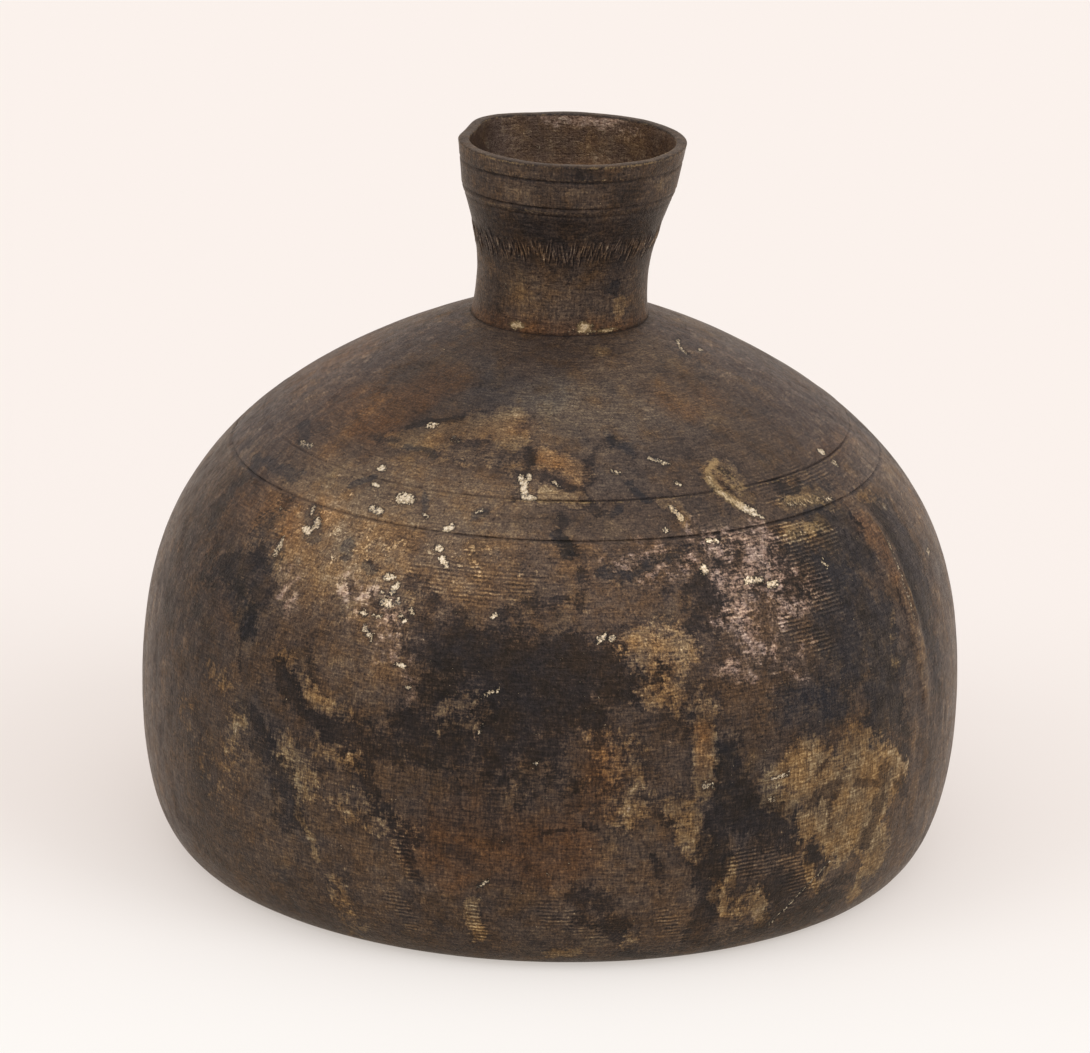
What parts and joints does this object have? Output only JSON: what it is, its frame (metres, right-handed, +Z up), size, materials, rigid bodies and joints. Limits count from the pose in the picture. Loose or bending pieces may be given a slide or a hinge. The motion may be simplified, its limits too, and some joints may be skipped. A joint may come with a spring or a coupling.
{
  "type": "bottle",
  "caption": "Squat round metal bottle with a domed shoulder, rounded foot and short flaring open neck, for holding liquid.",
  "frame": {"origin": "centre of the base, on the surface that the bottle stands on", "axes": "+Z up along the bottle's axis, +X the way that the neck leans, -Y towards the picture's camera"},
  "size_m": [0.1598, 0.1598, 0.1408],
  "materials": {
    "neck_metal": "worn satin, brown patina with golden rubbed edges",
    "shoulder_metal": "smooth satin, mottled brown patina",
    "wall_metal": "finely ridged by turning, mottled brown and black patina",
    "base_metal": "dull dark patina",
    "bright_solder": "bright smeared solder",
    "dull_solder": "dark dull solder"
  },
  "bodies": {
    "root": {"base_plate": "base_metal", "base_solder": "dull_solder", "lower_wall": "wall_metal", "girth_solder": "dull_solder", "shoulder": "shoulder_metal", "neck": "neck_metal", "neck_solder": "bright_solder"}
  },
  "joints": []
}
